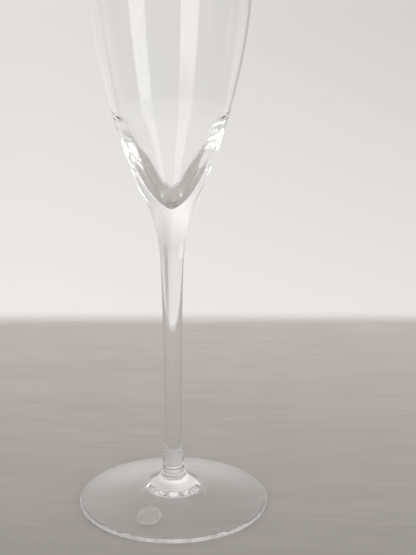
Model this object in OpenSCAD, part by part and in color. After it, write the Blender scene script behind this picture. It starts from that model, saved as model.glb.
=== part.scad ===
// Champagne flute, standing on its foot. A thin blown bowl with a thick pointed bottom sits in
// the flared top of a solid drawn stem. A ring of glass joins the stem to a spun foot, which
// carries a small oval film label, left blank.
// Origin: centre of the plane that the foot rests on. +Z points up the stem. Millimetres.

/* [Overall] */
// Height from the table to the lip
total_h = 240; // [210:1:290]

/* [Bowl] */
// Widest outside diameter of the bowl
belly_d = 55.4; // [46:0.2:68]
// Outside diameter at the lip
lip_d = 47; // [38:0.5:57]
// Distance from the lip down to the widest ring
belly_drop = 50; // [38:1:62]
// Thickness of the blown wall
wall = 1; // [0.7:0.1:1.6]
// Depth of the hollow
hollow_h = 125.4; // [110:0.2:138]
// Height over which the wall thickens towards the bottom of the hollow
heel_h = 34; // [26:1:40]
// Glass left between the bottom of the hollow and the stem
bottom_t = 6; // [3:0.5:8]

/* [Stem] */
// Outside diameter of the ring where the bowl leaves its seat in the stem
seat_d = 22.2; // [18.4:0.2:26.8]
// Angle between the outside of the glass and the axis at that ring
seat_lean = 22.5; // [15:0.5:28]
// Height of that ring above the bottom of the hollow
seat_rise = 5; // [4:0.5:9]
// Length of the flare below that ring
flare_h = 27.6; // [22:0.2:34]
// Diameter at the foot of the flare
knee_d = 8.2; // [7.6:0.1:10]
// Diameter of the shaft where it is slimmest
shaft_d = 6.3; // [5:0.1:7.4]
// Diameter of the swollen lower end
end_d = 7.8; // [6.6:0.1:9.4]
// Length over which the lower end swells
end_h = 12; // [8:0.5:20]

/* [Collar] */
// How far the ring stands out from the lower end of the stem
collar_lip = 0.9; // [0.5:0.1:2.4]
// Height of the ring
collar_t = 1.6; // [1.2:0.1:3.2]

/* [Foot] */
// Outside diameter of the foot
foot_d = 70; // [58:0.5:86]
// Height of the rounded edge
edge_t = 1.4; // [1.2:0.1:2.6]
// Height of the top of the hub above the table
hub_h = 10.8; // [8.8:0.1:13]
// How far the hub stands out from the ring on top of it
hub_lip = 0.3; // [0.1:0.1:1.4]
// Angle between the flare of the hub and the axis, at its top
hub_lean = 45; // [36:1:58]
// Diameter where the flare has run out into the disc
root_d = 26.8; // [22:0.2:31]
// Height of the upper surface there
root_h = 5.9; // [5:0.1:6.6]
// Height of the shallow hollow under the foot
kick_h = 4.4; // [1:0.1:4.8]
// Width of the flat ring that rests on the table
rest_w = 1.4; // [1:0.1:5]

/* [Label] */
// Length of the oval
label_l = 10.6; // [8:0.2:13]
// Width of the oval
label_w = 8.8; // [5:0.2:11]
// Thickness of the film
label_t = 0.12; // [0.1:0.01:0.3]
// Distance from the axis to the middle of the oval
label_r = 22.5; // [20.5:0.1:26]
// Direction of the middle of the oval, turned from +X
label_side = 248; // [0:1:359]
// Direction of its long way, turned from +X
label_turn = 84; // [0:1:179]

/* [Hidden] */

$fn = 128;
curve_steps = 18;
edge_steps = 8;
oval_steps = 48;

// Heights worked out from the sizes above
collar_z = hub_h;
stem_z = collar_z + collar_t;
shaft_z = stem_z + end_h;
hollow_z = total_h - hollow_h;
under_z = hollow_z - bottom_t;
seat_z = hollow_z + seat_rise;
knee_z = seat_z - flare_h;
belly_z = total_h - belly_drop;

// Leans of the glass against the axis, in degrees
knee_lean = 2.2;
lip_lean = 8;
under_lean = 55;

// How far each curve runs straight on from its ends, as a share of its height
shaft_pull = [0.44, 0.3];
flare_pull = [0.38, 0.43];
flank_pull = [0.35, 0.22];
crown_pull = [0.36, 0.34];

// How far the flare of the hub runs straight on from its ends, as a share of its width
hub_pull = [0.35, 0.35];

// Roundness of the two pointed bottoms, and how far each follows the glass above it
hollow_round = 3.9;
heel_pull = 5;
under_round = 5;
under_pull = 6;

// Small rounded corners
end_round = 0.9;
hub_round = 0.5;

// Rings where two curves meet, as [radius, height]
end_ring = [end_d / 2, stem_z + end_round];
shaft_ring = [shaft_d / 2, shaft_z];
knee_ring = [knee_d / 2, knee_z];
seat_ring = [seat_d / 2, seat_z];
belly_ring = [belly_d / 2, belly_z];
lip_centre = [lip_d / 2 - wall / 2, total_h - wall / 2];
lip_ring = lip_centre + wall / 2 * [cos(lip_lean), sin(lip_lean)];

// A step of one unit upwards along glass that leans outwards by an angle
function upward(lean) = [tan(lean), 1];

// Points on a cubic curve from a to d that sets off towards b and arrives from c
function curve(a, b, c, d) = [
    for (i = [0:curve_steps])
        let (t = i / curve_steps, u = 1 - t)
        u ^ 3 * a + 3 * u ^ 2 * t * b + 3 * u * t ^ 2 * c + t ^ 3 * d
];

// A curve that climbs from a to d with a given lean at each end
function climb(a, lean_a, d, lean_d, pull) =
    let (rise = d.y - a.y)
    curve(a, a + pull[0] * rise * upward(lean_a), d - pull[1] * rise * upward(lean_d), d);

// Points on a round edge between two angles
function arc(centre, r, from, to) = [
    for (i = [0:edge_steps])
        let (a = from + (to - from) * i / edge_steps)
        centre + r * [cos(a), sin(a)]
];

// An upward outline moved towards the axis by a distance, square to itself
function inset(line, distance) = [
    for (i = [0:len(line) - 1])
        let (run = line[min(i + 1, len(line) - 1)] - line[max(i - 1, 0)])
        line[i] + distance * [-run.y, run.x] / norm(run)
];

function backwards(line) = [for (i = [len(line) - 1:-1:0]) line[i]];
function without_first(line) = [for (i = [1:len(line) - 1]) line[i]];
function without_last(line) = [for (i = [0:len(line) - 2]) line[i]];
function raised(line, height) = [for (p = line) p + [0, height]];

// Underside of the bowl, which is also the seat in the top of the stem
under_line = curve(
    [0, under_z],
    [under_round, under_z],
    seat_ring - under_pull * [sin(under_lean), cos(under_lean)],
    seat_ring
);

// Outside of the bowl, from its seat up to the lip
outer_line = concat(
    climb(seat_ring, seat_lean, belly_ring, 0, flank_pull),
    without_first(climb(belly_ring, 0, lip_ring, -lip_lean, crown_pull))
);

// Inside of the bowl: an even wall down to the heel, then a rounded point
wall_line = [for (p = inset(outer_line, wall)) if (p.y > hollow_z + heel_h) p];
heel_ring = wall_line[0];
heel_run = wall_line[1] - heel_ring;
hollow_line = curve(
    [0, hollow_z],
    [hollow_round, hollow_z],
    heel_ring - heel_pull * heel_run / norm(heel_run),
    heel_ring
);

// Outside of the stem, from its rounded lower end up to the seat
stem_line = concat(
    climb(end_ring, 0, shaft_ring, 0, [0.4, 0.4]),
    without_first(climb(shaft_ring, 0, knee_ring, knee_lean, shaft_pull)),
    without_first(climb(knee_ring, knee_lean, seat_ring, seat_lean, flare_pull))
);

// Ring between stem and foot
collar_r = end_d / 2 + collar_lip;
collar_edge_r = collar_t / 2;

// Foot: hub, disc and the hollow underneath
hub_corner = [collar_r + hub_lip - hub_round, hub_h - hub_round];
hub_ring = hub_corner + hub_round * [cos(hub_lean), sin(hub_lean)];
edge_r = edge_t / 2;
edge_centre = [foot_d / 2 - edge_r, edge_r];
rest_r = edge_centre.x - rest_w;
root_ring = [root_d / 2, root_h];
disc_fall = (root_h - edge_t) / (edge_centre.x - root_ring.x);
hub_reach = root_ring.x - hub_ring.x;
hub_line = curve(
    hub_ring,
    hub_ring + hub_pull[0] * hub_reach * [1, -1 / tan(hub_lean)],
    root_ring - hub_pull[1] * hub_reach * [1, -disc_fall],
    root_ring
);
kick_line = curve([rest_r, 0], [0.68 * rest_r, kick_h / 3], [0.4 * rest_r, kick_h], [0, kick_h]);

// Blown bowl with an even wall and a thick pointed bottom
module bowl() {
    color([0.88, 0.91, 0.92, 0.45])
    rotate_extrude()
    polygon(concat(
        under_line,
        without_first(outer_line),
        without_first(arc(lip_centre, wall / 2, lip_lean, 180 + lip_lean)),
        without_first(backwards(wall_line)),
        without_first(backwards(hollow_line))
    ));
}

// Solid stem: rounded lower end, slim shaft and a flared top hollowed to seat the bowl
module stem() {
    color([0.84, 0.88, 0.89, 0.6])
    rotate_extrude()
    polygon(concat(
        [[0, stem_z]],
        arc([end_ring.x - end_round, end_ring.y], end_round, -90, 0),
        without_first(stem_line),
        without_first(backwards(under_line))
    ));
}

// Round-edged ring of glass between the stem and the foot
module stem_collar() {
    color([0.74, 0.78, 0.8, 0.7])
    rotate_extrude()
    polygon(concat(
        [[0, collar_z]],
        arc([collar_r - collar_edge_r, collar_z + collar_edge_r], collar_edge_r, -90, 90),
        [[0, stem_z]]
    ));
}

// Disc that rises to a flared hub, with a rounded edge and a flat resting ring round a shallow hollow
module foot() {
    color([0.82, 0.86, 0.87, 0.55])
    rotate_extrude()
    polygon(concat(
        [[0, hub_h]],
        backwards(arc(hub_corner, hub_round, hub_lean, 90)),
        without_first(hub_line),
        backwards(arc(edge_centre, edge_r, -90, 90 - atan(disc_fall))),
        kick_line
    ));
}

// Oval outline with its long way along X
module oval(length, width) {
    polygon([
        for (i = [0:oval_steps - 1])
            let (a = 360 * i / oval_steps)
            [length / 2 * cos(a), width / 2 * sin(a)]
    ]);
}

// Clear oval film that lies on the sloping top of the foot
module foot_label() {
    disc_line = [root_ring, edge_centre + edge_r * [sin(atan(disc_fall)), cos(atan(disc_fall))]];
    color([0.93, 0.93, 0.9, 0.8])
    intersection() {
        rotate_extrude()
        polygon(concat(disc_line, backwards(raised(disc_line, label_t))));
        rotate(label_side)
        translate([label_r, 0, 0])
        rotate(label_turn - label_side)
        linear_extrude(root_h + 2 * label_t)
        oval(label_l, label_w);
    }
}

bowl();
stem();
stem_collar();
foot();
foot_label();
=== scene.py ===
import math
import bpy
import bmesh
import numpy as np
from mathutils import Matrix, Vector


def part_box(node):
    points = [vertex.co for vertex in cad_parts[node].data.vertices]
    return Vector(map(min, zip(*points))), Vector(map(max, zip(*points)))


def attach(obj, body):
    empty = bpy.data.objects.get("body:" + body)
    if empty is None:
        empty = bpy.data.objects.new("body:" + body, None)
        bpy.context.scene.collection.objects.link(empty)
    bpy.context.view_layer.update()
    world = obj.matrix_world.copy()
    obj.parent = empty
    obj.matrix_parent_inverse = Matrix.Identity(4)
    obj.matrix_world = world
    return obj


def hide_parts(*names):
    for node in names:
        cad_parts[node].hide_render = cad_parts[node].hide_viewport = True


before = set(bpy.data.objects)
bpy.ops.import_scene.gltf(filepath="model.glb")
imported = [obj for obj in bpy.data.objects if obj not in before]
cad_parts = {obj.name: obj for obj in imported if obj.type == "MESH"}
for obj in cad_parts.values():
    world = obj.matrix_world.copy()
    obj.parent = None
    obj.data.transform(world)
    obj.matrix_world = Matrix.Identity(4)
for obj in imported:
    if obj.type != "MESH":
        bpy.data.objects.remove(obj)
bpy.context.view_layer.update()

mm = 0.001
onAxis = 1e-12  # a point nearer the axis than this is on it
noLength = 1e-14  # a normal shorter than this has no direction


# shader maths: a socket that can be added, multiplied and so on
class Wire:
    def __init__(self, maker, socket):
        self.maker = maker
        self.socket = socket

    def sum(self, operation, *values):
        return self.maker.node("ShaderNodeMath", {"operation": operation}, dict(enumerate(values)))

    def __add__(self, other):
        return self.sum("ADD", self, other)

    def __radd__(self, other):
        return self.sum("ADD", other, self)

    def __mul__(self, other):
        return self.sum("MULTIPLY", self, other)

    def __rmul__(self, other):
        return self.sum("MULTIPLY", other, self)

    def __sub__(self, other):
        return self.sum("SUBTRACT", self, other)

    def __rsub__(self, other):
        return self.sum("SUBTRACT", other, self)


# one material, or the world, and the nodes in it
class Finish:
    def __init__(self, owner):
        self.owner = owner
        owner.use_nodes = True
        self.tree = owner.node_tree
        self.tree.nodes.clear()

    # a node of any kind: its settings first, then the values or wires of its sockets
    def node(self, kind, settings={}, inputs={}, output=0):
        made = self.tree.nodes.new(kind)
        for key, value in settings.items():
            if key == "stops":
                ramp = made.color_ramp.elements
                while len(ramp) < len(value):
                    ramp.new(1)
                for stop, (place, tone) in zip(ramp, value):
                    stop.position = place
                    stop.color = tone
            else:
                setattr(made, key, value)
        for key, value in inputs.items():
            if isinstance(value, Wire):
                self.tree.links.new(value.socket, made.inputs[key])
            else:
                made.inputs[key].default_value = value
        return Wire(self, made.outputs[output]) if made.outputs else None

    def place(self, kind="Object"):
        return self.node("ShaderNodeTexCoord", output=kind)

    def part(self, vector, letter):
        return self.node("ShaderNodeSeparateXYZ", {}, {"Vector": vector}, output=letter)

    def grain(self, scale, detail, along=(1, 1, 1)):
        spot = self.node("ShaderNodeMapping", {}, {"Vector": self.place(), "Scale": along})
        return self.node("ShaderNodeTexNoise", {}, {"Vector": spot, "Scale": scale, "Detail": detail})

    def between(self, wire, low, high, bottom=0.0, top=1.0, ease="LINEAR"):
        return self.node("ShaderNodeMapRange", {"interpolation_type": ease}, {
            "Value": wire, "From Min": low, "From Max": high, "To Min": bottom, "To Max": top})

    def blend(self, amount, first, second, kind="MIX"):
        settings = {"data_type": "RGBA", "blend_type": kind}
        return self.node("ShaderNodeMix", settings, {0: amount, 6: first, 7: second}, output=2)

    # a ramp over a wire, from (value, tone) pairs and a tint
    def tones(self, wire, pairs, tint):
        low, high = pairs[0][0], pairs[-1][0]
        stops = [((value - low) / (high - low), tinted(tone, tint)) for value, tone in pairs]
        return self.node("ShaderNodeValToRGB", {"stops": stops}, {"Fac": self.between(wire, low, high)})

    def bump(self, strength, distance, height):
        return self.node("ShaderNodeBump", {}, {"Strength": strength, "Distance": distance, "Height": height})

    def principled(self, sockets):
        return self.finishWith("ShaderNodeOutputMaterial", self.node("ShaderNodeBsdfPrincipled", {}, sockets))

    def finishWith(self, kind, shader):
        self.node(kind, {}, {"Surface": shader})
        return self.owner


def tinted(tone, tint):
    return [tone * c for c in tint] + [1]


print("stage 1: finishes")


# each pattern has its scale and detail, and the span of its values that is used
glassLook = {
    "clear": (1.0, 1.0, 1.0, 1), "cool": (0.985, 0.993, 0.992, 1), "index": 1.52,
    "tintGrain": (60, 2), "tintSpan": (0.35, 0.65),
    "wipeGrain": (140, 4, (1, 1, 0.35)), "wipeSpan": (0.55, 0.8), "smear": 0.012,
    "waveGrain": (90, 1), "wave": 0.03, "waveHeight": 0.0004,
    # the less along z, the longer the marks are drawn out up the piece
    "drawn": {"bowl": (1, 1, 0.2), "stem": (1, 1, 0.15), "foot": (1, 1, 1)}}


def glassFinish(name, drawn):
    look = glassLook
    f = Finish(bpy.data.materials.new(name))
    # faint cool tint that follows the way the glass was drawn
    tint = f.between(f.grain(*look["tintGrain"], drawn), *look["tintSpan"])
    wipes = f.between(f.grain(*look["wipeGrain"]), *look["wipeSpan"], 0.0, look["smear"])
    waves = f.bump(look["wave"], look["waveHeight"], f.grain(*look["waveGrain"], drawn))
    return f.principled({
        "Base Color": f.blend(tint, look["clear"], look["cool"]), "Roughness": wipes, "IOR": look["index"],
        "Transmission Weight": 1.0, "Normal": waves})


# where two pieces of glass are melted together there is no surface to see
def fusedFinish(name):
    f = Finish(bpy.data.materials.new(name))
    return f.principled({"Base Color": glassLook["clear"], "Alpha": 0.0})


filmLook = {
    "thin": (0.62, 0.61, 0.54, 1), "thick": (0.82, 0.81, 0.75, 1),
    "hazeGrain": (420, 3), "hazeSpan": (0.3, 0.7),
    # how much of what lies under it the film hides, in the middle and at the rim, and how much haze adds
    "middle": 0.11, "rim": 0.30, "rimSpan": (0.86, 0.97), "mottle": 0.05,
    "roughness": (0.35, 0.5), "dimpleGrain": (1500, 2), "dimple": 0.1, "dimpleHeight": 0.0001}


def filmFinish(name, centre, long, wide, turn):
    look = filmLook
    f = Finish(bpy.data.materials.new(name))
    haze = f.between(f.grain(*look["hazeGrain"]), *look["hazeSpan"])
    # distance from the middle of the oval, 1 at its edge
    oval = f.node("ShaderNodeMapping", {"vector_type": "TEXTURE"}, {
        "Vector": f.place(), "Location": centre, "Rotation": (0, 0, turn), "Scale": (long, wide, 1)})
    out = f.node("ShaderNodeVectorMath", {"operation": "LENGTH"}, {0: oval}, output="Value")
    cover = f.between(out, *look["rimSpan"], look["middle"], look["rim"], "SMOOTHSTEP")
    cover = cover + haze * look["mottle"]
    dimples = f.bump(look["dimple"], look["dimpleHeight"], f.grain(*look["dimpleGrain"]))
    return f.principled({
        "Base Color": f.blend(haze, look["thin"], look["thick"]),
        "Roughness": f.between(haze, 0, 1, *look["roughness"]), "Alpha": cover, "Normal": dimples})


tableLook = {
    # how far beyond the flute, in metres, and the tone there, a painted sheen lighter to the back and painted
    # shade darker in front; then where the table fades out
    "tones": [(-0.7, 0.54), (-0.25, 0.39), (-0.06, 0.39), (0.19, 0.62)], "edge": (0.190, 0.214),
    "tint": (1.0, 0.945, 0.9),
    # limed wood grain running from side to side
    "coarse": (26, 8, (0.35, 2.4, 1)), "fine": (170, 6, (0.22, 2.0, 1)), "shares": (0.45, 0.55),
    "veinSpan": (0.40, 0.60), "dark": (0.95, 0.946, 0.94, 1), "light": (1.03, 1.03, 1.03, 1),
    "roughness": 0.8}


def tableFinish(name):
    look = tableLook
    f = Finish(bpy.data.materials.new(name))
    depth = f.part(f.place(), "Y")
    # painted sheen and shade: the tone follows depth, lighter towards the back and darker in front of the
    # flute
    paintedSheenAndShade = f.tones(depth, look["tones"], look["tint"])
    coarse, fine = (f.grain(*look[size]) * share for size, share in zip(("coarse", "fine"), look["shares"]))
    veins = f.between(coarse + fine, *look["veinSpan"])
    colour = f.blend(1.0, paintedSheenAndShade, f.blend(veins, look["dark"], look["light"]), "MULTIPLY")
    return f.principled({
        "Base Color": colour, "Roughness": look["roughness"],
        "Alpha": f.between(depth, *look["edge"], 1, 0, "SMOOTHSTEP")})


bowlGlass = glassFinish("bowlGlass", glassLook["drawn"]["bowl"])
stemGlass = glassFinish("stemGlass", glassLook["drawn"]["stem"])
footGlass = glassFinish("footGlass", glassLook["drawn"]["foot"])
fusedSeam = fusedFinish("fusedSeam")
openFace, fusedFace = 0, 1  # places of the glass and the seam on every glass piece


print("stage 2: glass")


# points [radius, height] on a cubic curve that sets off towards b and arrives from c
def curve(a, b, c, d, steps):
    a, b, c, d = (np.array(point) for point in (a, b, c, d))
    t = np.linspace(0, 1, steps + 1)[:, None]
    u = 1 - t
    return u ** 3 * a + 3 * u * u * t * b + 3 * u * t * t * c + t ** 3 * d


# one unit up along glass that leans outwards
def upward(lean):
    return np.array([math.tan(math.radians(lean)), 1.0])


# a curve that climbs from a to d with a given lean at each end
def climb(a, leanA, d, leanD, pull, steps):
    a, d = np.array(a), np.array(d)
    rise = d[1] - a[1]
    return curve(a, a + pull[0] * rise * upward(leanA), d - pull[1] * rise * upward(leanD), d, steps)


def arc(centre, radius, start, end, steps):
    a = np.radians(np.linspace(start, end, steps + 1))[:, None]
    return np.array(centre) + radius * np.hstack([np.cos(a), np.sin(a)])


def line(a, b, steps):
    t = np.linspace(0, 1, steps + 1)[:, None]
    return (1 - t) * np.array(a) + t * np.array(b)


# an outline moved towards the axis, square to itself
def inset(points, distance):
    run = np.gradient(points, axis=0, edge_order=2)
    return points + distance * np.stack([-run[:, 1], run[:, 0]], 1) / np.linalg.norm(run, axis=1)[:, None]


# exact normals of a grid of points spun from one run, straight up or down where the run meets the axis
def gridNormals(grid, radii):
    along = np.gradient(grid, axis=0, edge_order=2)
    around = np.roll(grid, -1, 1) - np.roll(grid, 1, 1)
    normal = np.cross(around, along)
    length = np.linalg.norm(normal, axis=2, keepdims=True)
    pole = np.zeros((len(grid), 1, 3))
    pole[:, 0, 2] = -np.sign(np.gradient(radii))
    return np.where(length > noLength, normal / np.maximum(length, noLength), pole)


# spins runs of points round the axis. A run is its points, the kind of its faces and, where it has one,
# a ripple. Every run keeps its own normals, so edges between runs stay crisp.
def lathe(name, runs, turns, finishes):
    angle = np.linspace(0, 2 * math.pi, turns, endpoint=False)
    mesh = bmesh.new()
    cornerNormals = []
    previous = None
    for points, faceKind, *ripples in runs:
        points = points * mm
        radius = np.repeat(points[:, :1], turns, 1)
        height = np.repeat(points[:, 1:], turns, 1)
        for ripple in ripples:
            radius = radius + ripple(points[:, :1], points[:, 1:], angle[None, :])
        grid = np.stack([radius * np.cos(angle), radius * np.sin(angle), height], 2)
        normal = gridNormals(grid, points[:, 0])
        rings = []
        for i, (r, z) in enumerate(points):
            if i == 0 and previous is not None:
                rings.append(previous)
            elif r < onAxis:
                rings.append([mesh.verts.new((0, 0, z))])
            else:
                rings.append([mesh.verts.new(p) for p in grid[i]])
        for i, (low, high) in enumerate(zip(rings, rings[1:])):
            for j in range(turns):
                k = (j + 1) % turns
                corners = []
                for ring, row, column in ((low, i, j), (low, i, k), (high, i + 1, k), (high, i + 1, j)):
                    if len(ring) > 1:
                        corners.append((ring[column], row, column))
                    elif (ring[0], row) not in [c[:2] for c in corners]:
                        corners.append((ring[0], row, column))
                face = mesh.faces.new([c[0] for c in corners])
                face.smooth = True
                face.material_index = faceKind
                cornerNormals.extend(normal[row, column] for _, row, column in corners)
        previous = rings[-1]
    piece = pieceFrom(mesh, name, finishes)
    piece.data.normals_split_custom_set([tuple(n) for n in cornerNormals])
    return piece


def pieceFrom(mesh, name, finishes):
    data = bpy.data.meshes.new(name)
    mesh.to_mesh(data)
    mesh.free()
    for finish in finishes:
        data.materials.append(finish)
    piece = bpy.data.objects.new(name, data)
    bpy.context.scene.collection.objects.link(piece)
    return piece


# lowest, highest and widest of a CAD piece, in millimetres
def sizes(node):
    low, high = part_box(node)
    return [round(v / mm, 2) for v in (low.z, high.z, max(high.x, high.y))]


bowlLow, lipZ, bellyRadius = sizes("bowl")
stemLow, seatZ, seatRadius = sizes("stem")
collarLow, collarHigh, collarRadius = sizes("stem_collar")
footHigh, footRadius = sizes("foot")[1:]
seat = [seatRadius, seatZ]

# sizes in millimetres and degrees, as in the part's source; steps are the pieces that a run is divided into
bowlShape = {
    "lipRadius": 23.5, "bellyDrop": 50, "wall": 1.0, "hollowDepth": 125.4, "heel": 34,
    "seatLean": 22.5, "underLean": 55, "lipLean": 8, "flankPull": (0.35, 0.22), "crownPull": (0.36, 0.34),
    "hollowRound": 3.9, "heelPull": 5, "underRound": 5, "underPull": 6,
    "turns": 384, "steps": {"under": 30, "flank": 70, "crown": 50, "lip": 12, "hollow": 80}}

# depth is a share of the radius; hold and fade are heights over the bottom of the hollow
ribShape = {"count": 16, "depth": 0.0035, "turn": -3.25, "start": 3.0, "hold": 2, "fade": 38, "ease": 1.5}

hollowZ = lipZ - bowlShape["hollowDepth"]


# where the bowl sits in the top of the stem
def seatLine():
    lean = math.radians(bowlShape["underLean"])
    pull = bowlShape["underPull"]
    return curve([0, bowlLow], [bowlShape["underRound"], bowlLow],
                 [seatRadius - pull * math.sin(lean), seatZ - pull * math.cos(lean)], seat,
                 bowlShape["steps"]["under"])


# optic ribs pressed by the mould: strongest low down in the hollow, gone above its shoulder
def ribRipple(radius, height, angle):
    up = height / mm - hollowZ
    fade = np.clip(1 - (up - ribShape["hold"]) / ribShape["fade"], 0, 1) ** ribShape["ease"]
    start = np.clip(up / ribShape["start"], 0, 1)
    return -radius * ribShape["depth"] * fade * start * np.cos(ribShape["count"] * angle + ribShape["turn"])


def makeBowl():
    wall = bowlShape["wall"]
    lean = bowlShape["lipLean"]
    steps = bowlShape["steps"]
    tilt = math.radians(lean)
    belly = [bellyRadius, lipZ - bowlShape["bellyDrop"]]
    lipCentre = np.array([bowlShape["lipRadius"] - wall / 2, lipZ - wall / 2])
    lipRing = lipCentre + wall / 2 * np.array([math.cos(tilt), math.sin(tilt)])
    flank = climb(seat, bowlShape["seatLean"], belly, 0, bowlShape["flankPull"], steps["flank"])
    crown = climb(belly, 0, lipRing, -lean, bowlShape["crownPull"], steps["crown"])
    outside = np.vstack([flank, crown[1:]])
    # an even wall down to the heel, then a rounded point
    inside = inset(outside, wall)
    inside = inside[inside[:, 1] > hollowZ + bowlShape["heel"]]
    heel = inside[0]
    run = inside[1] - heel
    hollow = curve([0, hollowZ], [bowlShape["hollowRound"], hollowZ],
                   heel - bowlShape["heelPull"] * run / np.linalg.norm(run), heel, steps["hollow"])
    lip = arc(lipCentre, wall / 2, lean, 180 + lean, steps["lip"])
    inner = np.vstack([hollow, inside[1:]])[::-1]
    inner[0] = lip[-1]
    runs = [
        (seatLine(), fusedFace),
        (outside, openFace),
        (lip, openFace),
        (inner, openFace, ribRipple)]
    return lathe("bowlCup", runs, bowlShape["turns"], [bowlGlass, fusedSeam])


stemShape = {
    "kneeRadius": 4.1, "flare": 27.6, "shaftRadius": 3.15, "endRadius": 3.9, "endHeight": 12, "endRound": 0.9,
    "kneeLean": 2.2, "swellPull": (0.4, 0.4), "shaftPull": (0.44, 0.3), "flarePull": (0.38, 0.43),
    "turns": 96, "steps": {"foot": 6, "corner": 10, "swell": 30, "shaft": 90, "flare": 60}}

# radius of the flat that the lower end of the stem stands on
stemContact = stemShape["endRadius"] - stemShape["endRound"]


def makeStem():
    lean = stemShape["kneeLean"]
    steps = stemShape["steps"]
    corner = [stemContact, stemLow + stemShape["endRound"]]
    end = [stemShape["endRadius"], corner[1]]
    shaft = [stemShape["shaftRadius"], stemLow + stemShape["endHeight"]]
    knee = [stemShape["kneeRadius"], seatZ - stemShape["flare"]]
    runs = [
        (line([0, stemLow], [stemContact, stemLow], steps["foot"]), fusedFace),
        (arc(corner, stemShape["endRound"], -90, 0, steps["corner"]), openFace),
        (climb(end, 0, shaft, 0, stemShape["swellPull"], steps["swell"]), openFace),
        (climb(shaft, 0, knee, lean, stemShape["shaftPull"], steps["shaft"]), openFace),
        (climb(knee, lean, seat, bowlShape["seatLean"], stemShape["flarePull"], steps["flare"]), openFace),
        (seatLine()[::-1], fusedFace)]
    return lathe("drawnStem", runs, stemShape["turns"], [stemGlass, fusedSeam])


collarShape = {"turns": 96, "steps": {"under": 6, "edge": 28, "ledge": 3, "top": 6}}

# the ring has a half-round edge; inside that, it is flat
collarEdge = (collarHigh - collarLow) / 2
collarFlat = collarRadius - collarEdge


def makeCollar():
    steps = collarShape["steps"]
    runs = [
        (line([0, collarLow], [collarFlat, collarLow], steps["under"]), fusedFace),
        (arc([collarFlat, collarLow + collarEdge], collarEdge, -90, 90, steps["edge"]), openFace),
        (line([collarFlat, collarHigh], [stemContact, collarHigh], steps["ledge"]), openFace),
        (line([stemContact, collarHigh], [0, collarHigh], steps["top"]), fusedFace)]
    return lathe("collarRing", runs, collarShape["turns"], [stemGlass, fusedSeam])


footShape = {
    "edge": 1.4, "rest": 1.4, "rootRadius": 13.4, "rootHeight": 5.9,
    "hubLip": 0.3, "hubRound": 0.5, "hubLean": 45, "hubPull": (0.35, 0.35),
    # the hollow underneath: its height, how flat it is in the middle and how it meets the resting ring
    "kick": 4.4, "kickMiddle": 0.4, "kickOuter": 0.68, "kickDivide": 3,
    "turns": 192, "steps": {"under": 60, "rest": 4, "rim": 30, "disc": 40, "hub": 40, "corner": 12,
                            "ledge": 4, "top": 6}}

# rounded edge of the foot, and how much its top falls for each millimetre outwards
edgeRadius = footShape["edge"] / 2
edgeCentre = [footRadius - edgeRadius, edgeRadius]
discFall = (footShape["rootHeight"] - footShape["edge"]) / (edgeCentre[0] - footShape["rootRadius"])


def makeFoot():
    steps = footShape["steps"]
    soft = footShape["hubRound"]
    lean = math.radians(footShape["hubLean"])
    corner = np.array([collarRadius + footShape["hubLip"] - soft, footHigh - soft])
    hub = corner + soft * np.array([math.cos(lean), math.sin(lean)])
    root = np.array([footShape["rootRadius"], footShape["rootHeight"]])
    steep, shallow = footShape["hubPull"]
    reach = root[0] - hub[0]
    flare = curve(root, root - shallow * reach * np.array([1, -discFall]),
                  hub + steep * reach * np.array([1, -1 / math.tan(lean)]), hub, steps["hub"])
    rim = arc(edgeCentre, edgeRadius, -90, 90 - math.degrees(math.atan(discFall)), steps["rim"])
    rest = edgeCentre[0] - footShape["rest"]
    kick = footShape["kick"]
    under = curve([0, kick], [footShape["kickMiddle"] * rest, kick],
                  [footShape["kickOuter"] * rest, kick / footShape["kickDivide"]], [rest, 0], steps["under"])
    runs = [
        (under, openFace),
        (line([rest, 0], [edgeCentre[0], 0], steps["rest"]), openFace),
        (rim, openFace),
        (line(rim[-1], root, steps["disc"]), openFace),
        (flare, openFace),
        (arc(corner, soft, footShape["hubLean"], 90, steps["corner"]), openFace),
        (line([corner[0], footHigh], [collarFlat, footHigh], steps["ledge"]), openFace),
        (line([collarFlat, footHigh], [0, footHigh], steps["top"]), fusedFace)]
    return lathe("spunFoot", runs, footShape["turns"], [footGlass, fusedSeam])


labelShape = {
    "length": 10.6, "width": 8.8, "film": 0.12, "out": 22.5, "side": 248, "turn": 84,
    # clearance under the film, and its softened edge: how high it starts and how far the top is drawn in
    "gap": 0.01, "edgeStart": 0.6, "edgeIn": 0.012, "rings": 10, "steps": 64}


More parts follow.
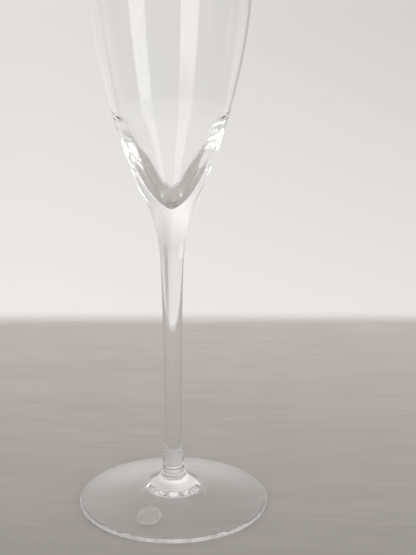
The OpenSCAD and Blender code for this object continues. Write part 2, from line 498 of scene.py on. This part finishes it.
def makeLabel():
    shape = labelShape
    side, turn = math.radians(shape["side"]), math.radians(shape["turn"])
    middle = shape["out"] * np.array([math.cos(side), math.sin(side)])
    film, gap, steps = shape["film"], shape["gap"], shape["steps"]
    mesh = bmesh.new()

    def vertexAt(x, y, lift):
        top = footShape["rootHeight"] - discFall * (math.hypot(x, y) - footShape["rootRadius"])
        return mesh.verts.new((x * mm, y * mm, (top + lift) * mm))

    def ring(share, lift):
        found = []
        for i in range(steps):
            a = 2 * math.pi * i / steps
            u = share * shape["length"] / 2 * math.cos(a)
            v = share * shape["width"] / 2 * math.sin(a)
            found.append(vertexAt(middle[0] + u * math.cos(turn) - v * math.sin(turn),
                                  middle[1] + u * math.sin(turn) + v * math.cos(turn), lift))
        return found

    shares = [(i + 1) / shape["rings"] for i in range(shape["rings"])]
    under = [ring(share, gap) for share in shares]
    over = [ring(share - (shape["edgeIn"] if share == 1 else 0), film) for share in shares]
    loops = under + [ring(1.0, film * shape["edgeStart"])] + over[::-1]
    for low, high in zip(loops, loops[1:]):
        for i in range(steps):
            mesh.faces.new((low[i], low[i - 1], high[i - 1], high[i]))
    for loop, lift in ((under[0], gap), (over[0], film)):
        tip = vertexAt(middle[0], middle[1], lift)
        for i in range(steps):
            mesh.faces.new((loop[i], loop[i - 1], tip))
    for face in mesh.faces:
        face.smooth = True
    bmesh.ops.recalc_face_normals(mesh, faces=mesh.faces)
    finish = filmFinish("labelFilm", (middle[0] * mm, middle[1] * mm, 0), shape["length"] / 2 * mm,
                        shape["width"] / 2 * mm, turn)
    return pieceFrom(mesh, "footLabel", [finish])


for piece, node, slotName in (
        (makeBowl(), "bowl", "bowl_glass"),
        (makeStem(), "stem", "stem_glass"),
        (makeCollar(), "stem_collar", "stem_glass"),
        (makeFoot(), "foot", "foot_glass"),
        (makeLabel(), "foot_label", "label_film")):
    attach(piece, "root")
    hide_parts(node)


print("stage 3: table, light and camera")


# metres; the gap keeps the table clear of the foot
tableShape = {"back": 0.214, "front": -1.6, "side": 1.3, "gap": 0.0001}


def makeTable():
    back, front, side, gap = (tableShape[size] for size in ("back", "front", "side", "gap"))
    mesh = bmesh.new()
    corners = [(-side, front), (side, front), (side, back), (-side, back)]
    mesh.faces.new([mesh.verts.new((x, y, -gap)) for x, y in corners])
    pieceFrom(mesh, "tableTop", [tableFinish("paleTable")])


makeTable()


roomLook = {
    # tone by the height looked at: ahead over the table, to the sides and behind the viewer
    "ahead": [(-0.40, 0.845), (-0.33, 0.84), (-0.14, 0.745), (0.05, 0.88), (0.2, 1.0), (0.44, 0.74),
              (0.67, 0.64), (1.0, 0.85)],
    "beside": [(-0.40, 0.32), (-0.10, 0.32), (0.04, 0.80), (0.67, 0.80), (1.0, 0.85)],
    "behind": [(-0.40, 0.66), (-0.10, 0.66), (0.04, 0.80), (0.67, 0.80), (1.0, 0.85)],
    "tint": (1.0, 0.985, 0.97),
    # how far ahead is fully front, and how far back is fully behind
    "front": (0.2, 0.65), "back": (-0.45, -0.8),
    # the wall is a little darker to the right and higher up: from, to, least, most
    "shadeRight": (-0.11, 0.2, 0, 0.31), "shadeUp": (-0.42, 0, 0.02, 0.34), "shade": 2.0,
    "dark": (0, 0, 0, 1)}

# soft windows and darker furniture: degrees to the right of the viewer's back, degrees up, how soft
# the edges are and what tone
patches = [
    {"side": (42, 66), "up": (-1, 20), "soft": (2, 3), "tone": 3.0},
    {"side": (-43, -16), "up": (-1, 13), "soft": (2, 8), "tone": 3.0},
    {"side": (-98, -58), "up": (21, 45), "soft": (5, 3), "tone": 0.44},
    {"side": (72, 102), "up": (-5, 22), "soft": (5, 4), "tone": 0.62},
    {"side": (153, 165), "up": (-16, -9), "soft": (4, 4), "tone": 0.5}]


def makeRoom():
    look = roomLook
    f = Finish(bpy.data.worlds.new("softRoom"))
    way = f.place("Generated")
    right, ahead, up = (f.part(way, letter) for letter in "XYZ")
    side = right.sum("ARCTAN2", right, 0 - ahead)

    # 1 between two values, with soft ends outside them
    def within(wire, low, high, soft):
        return f.between(wire, low - soft, low) * f.between(wire, high, high + soft, 1, 0)

    tones = {name: f.tones(up, look[name], look["tint"]) for name in ("beside", "behind", "ahead")}
    front = f.between(ahead, *look["front"], ease="SMOOTHSTEP")
    back = f.between(ahead, *look["back"], ease="SMOOTHSTEP")
    shade = f.between(right, *look["shadeRight"]) * f.between(up, *look["shadeUp"]) * front * look["shade"]
    plain = f.blend(back, tones["beside"], tones["behind"])
    plain = f.blend(front, plain, tones["ahead"])
    plain = f.blend(shade, plain, look["dark"])
    colour = plain
    for patch in patches:
        low, high, soft = (math.radians(v) for v in (*patch["side"], patch["soft"][0]))
        bottom, top, fade = (math.sin(math.radians(v)) for v in (*patch["up"], patch["soft"][1]))
        there = within(side, low, high, soft) * within(up, bottom, top, fade)
        colour = f.blend(there, colour, tinted(patch["tone"], look["tint"]))
    # the windows and furniture show only in the glass
    direct = f.node("ShaderNodeLightPath", output="Is Camera Ray")
    shown = f.node("ShaderNodeBackground", {}, {"Color": f.blend(direct, colour, plain)})
    bpy.context.scene.world = f.finishWith("ShaderNodeOutputWorld", shown)


makeRoom()

bpy.context.scene.view_settings.view_transform = "Standard"

# light runs a long way round inside thick glass
bounceLimit = 32
for bounces in ("max_bounces", "glossy_bounces", "transmission_bounces", "transparent_max_bounces"):
    setattr(bpy.context.scene.cycles, bounces, bounceLimit)
bpy.context.scene.cycles.blur_glossy = 0.0

cameraPlace = {"at": (0.01275, -0.5068, 0.2523), "down": 18.05, "lens": 97.3, "nearest": 0.02}
camera = bpy.data.objects.new("camera", bpy.data.cameras.new("camera"))
camera.data.lens = cameraPlace["lens"]
camera.data.clip_start = cameraPlace["nearest"]
camera.location = cameraPlace["at"]
camera.rotation_euler = (math.radians(90 - cameraPlace["down"]), 0, 0)
bpy.context.scene.collection.objects.link(camera)
bpy.context.scene.camera = camera
